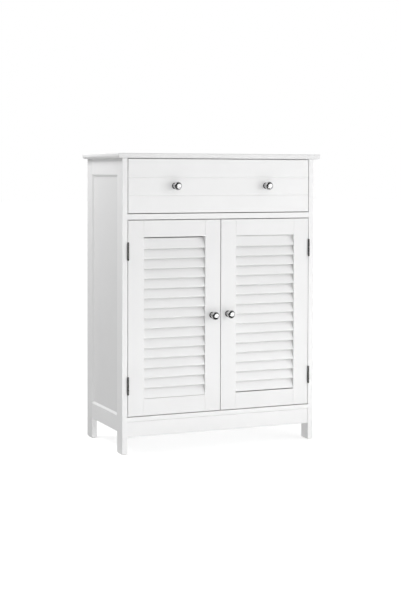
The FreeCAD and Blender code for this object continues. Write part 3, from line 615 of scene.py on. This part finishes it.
def underCabinetFill(tree, place):
    # how strongly the floor glows: fill where |x| and |y| are below fillReach, fading out over fillEdge
    beyond = vectorMaths(tree, "SUBTRACT", vectorMaths(tree, "ABSOLUTE", place), floorLook["fillReach"])
    apart = addNode(tree, "ShaderNodeSeparateXYZ", {0: beyond}).outputs
    furthest = maths(tree, "MAXIMUM", apart["X"], apart["Y"])
    return between(tree, furthest, 0.0, floorLook["fillEdge"], floorLook["fill"], 0.0)


def mirroredLevel(tree, place):
    # what polished metal sees: darkest near the cabinet, brighter further off, and brightest towards the
    # key lamp, where (heading from the middle) . towards passes the edges
    distance = vectorMaths(tree, "LENGTH", place)
    facing = vectorMaths(tree, "DOT_PRODUCT", vectorMaths(tree, "NORMALIZE", place), floorLook["towards"])
    far = between(tree, distance, floorLook["darkWithin"], floorLook["brightBeyond"],
                  floorLook["darkest"], 1.0)
    sided = between(tree, facing, *floorLook["edges"], floorLook["mirroredSide"], floorLook["mirrored"])
    return maths(tree, "MULTIPLY", far, sided)


def floorMaterial():
    # white to the camera apart from the shadow; matt with a soft fill under the cabinet to scattered rays
    material, tree = newMaterial("studioFloor")
    tree.nodes.clear()
    place = objectPlace(tree)
    glow = "ShaderNodeEmission"
    seen = added(tree, matt(tree, floorLook["albedo"]), glowing(tree, glow, floorLook["cameraGlow"]))
    soft = added(tree, matt(tree, floorLook["bounce"]), glowing(tree, glow, underCabinetFill(tree, place)))
    shine = glowing(tree, glow, mirroredLevel(tree, place))
    path = tree.nodes.new("ShaderNodeLightPath").outputs
    lit = chosen(tree, path["Is Camera Ray"], soft, seen)
    addNode(tree, "ShaderNodeOutputMaterial", {"Surface": chosen(tree, path["Is Glossy Ray"], lit, shine)})
    return material


def buildFloor():
    reach = floorLook["reach"]
    mesh = bpy.data.meshes.new("studioFloor")
    mesh.from_pydata([(-reach, -reach, 0), (reach, -reach, 0), (reach, reach, 0), (-reach, reach, 0)], [],
                     [[0, 1, 2, 3]])
    mesh.materials.append(floorMaterial())
    floor = bpy.data.objects.new("studioFloor", mesh)
    bpy.context.scene.collection.objects.link(floor)


# sizes are width and height, powers are in watts
lamps = {
    "keyLamp": dict(place=(1.0, -2.1, 0.6), aim=(0, 0, 0.4), size=(4.0, 0.5), power=13.7),
    "cornerLamp": dict(place=(1.3, -1.3, 1.0), aim=(0.2, 0, 0.65), size=(0.6, 0.6), power=2.0),
    "lowLamp": dict(place=(0.15, -0.9, 0.028), aim=(-0.05, 0, 0.03), size=(1.6, 0.05), power=1.8),
    "sideLamp": dict(place=(-0.85, 0.35, 1.35), aim=(-0.28, 0, 0.55), size=(0.45, 0.45), power=5.6),
}


def buildLamps():
    for label, lamp in lamps.items():
        data = bpy.data.lights.new(label, "AREA")
        data.shape = "RECTANGLE"
        data.size, data.size_y = lamp["size"]
        data.energy = lamp["power"]
        light = bpy.data.objects.new(label, data)
        light.location = lamp["place"]
        direction = Vector(lamp["aim"]) - Vector(lamp["place"])
        light.rotation_euler = direction.to_track_quat("-Z", "Y").to_euler()
        bpy.context.scene.collection.objects.link(light)


worldLook = dict(base=0.145, mirroredBase=0.02, mirroredStrength=1.7, squeeze=(1, 1, 1.8), softboxes={
    "frontRight": dict(towards=(0.515, -0.857, 0.2), strength=0.5, spread=2.0, edges=(0.62, 0.74)),
    "above": dict(towards=(0.1, -0.45, 0.89), strength=0.36, spread=2.0, edges=(1.1, 1.2)),
    "backRight": dict(towards=(0.7, 0.65, 0.3), strength=0.4, spread=2.0, edges=(0.75, 0.9)),
    "backLeft": dict(towards=(-0.47, 0.42, 0.77), strength=1.2, spread=6.0, edges=(0.75, 0.9)),
})


def buildWorld():
    # white to the camera; everything else sees four soft lobes over a base, each of them
    # strength * (direction . towards) ^ spread. Polished metal sees them with firm edges and squeezed in
    # height; the one above has edges past 1 and so isn't mirrored
    world = bpy.data.worlds.new("studioWorld")
    world.use_nodes = True
    tree = world.node_tree
    tree.nodes.clear()
    direction = addNode(tree, "ShaderNodeTexCoord").outputs["Generated"]
    squeezed = vectorMaths(tree, "MULTIPLY", direction, worldLook["squeeze"])
    squeezed = vectorMaths(tree, "NORMALIZE", squeezed)
    soft, firm = worldLook["base"], worldLook["mirroredBase"]
    for box in worldLook["softboxes"].values():
        towards = Vector(box["towards"]).normalized()
        facing = vectorMaths(tree, "DOT_PRODUCT", direction, towards)
        lobe = maths(tree, "POWER", maths(tree, "MAXIMUM", facing, 0.0), box["spread"])
        soft = maths(tree, "ADD", maths(tree, "MULTIPLY", lobe, box["strength"]), soft)
        mirrored = vectorMaths(tree, "DOT_PRODUCT", squeezed, towards)
        bright = between(tree, mirrored, *box["edges"], 0.0, worldLook["mirroredStrength"])
        firm = maths(tree, "ADD", bright, firm)
    path = tree.nodes.new("ShaderNodeLightPath").outputs
    sky = "ShaderNodeBackground"
    lit = chosen(tree, path["Is Glossy Ray"], glowing(tree, sky, soft), glowing(tree, sky, firm))
    addNode(tree, "ShaderNodeOutputWorld",
            {"Surface": chosen(tree, path["Is Camera Ray"], lit, glowing(tree, sky, 1.0))})
    bpy.context.scene.world = world


# focal length, long side and middle row are in picture points, and the sensor's width is in millimetres
cameraView = dict(focalLength=1317.2, longSide=601, middleRow=204.8, sensorWidth=36.0,
                  place=(-1.4793, -3.3898, 0.7451), yaw=23.51, pitch=1.345, roll=0.139)


def buildCamera():
    # looks along +y turned by yaw towards +x and tipped down by pitch, with the picture turned by roll
    yaw, pitch, roll = (math.radians(cameraView[key]) for key in ("yaw", "pitch", "roll"))
    forward = Vector((math.sin(yaw) * math.cos(pitch), math.cos(yaw) * math.cos(pitch), -math.sin(pitch)))
    level = Vector((math.cos(yaw), -math.sin(yaw), 0))
    raised = level.cross(forward)
    rightward = level * math.cos(roll) + raised * math.sin(roll)
    upward = raised * math.cos(roll) - level * math.sin(roll)
    longSide = cameraView["longSide"]
    data = bpy.data.cameras.new("studioCamera")
    data.sensor_width = cameraView["sensorWidth"]
    data.lens = cameraView["focalLength"] * data.sensor_width / longSide
    data.shift_y = (cameraView["middleRow"] - longSide / 2) / longSide
    camera = bpy.data.objects.new("studioCamera", data)
    turn = Matrix((rightward, upward, -forward)).transposed().to_4x4()
    camera.matrix_world = Matrix.Translation(cameraView["place"]) @ turn
    bpy.context.scene.collection.objects.link(camera)
    bpy.context.scene.camera = camera


buildFloor()
buildLamps()
buildWorld()
buildCamera()
bpy.context.scene.view_settings.view_transform = "Standard"
print("studio ready")
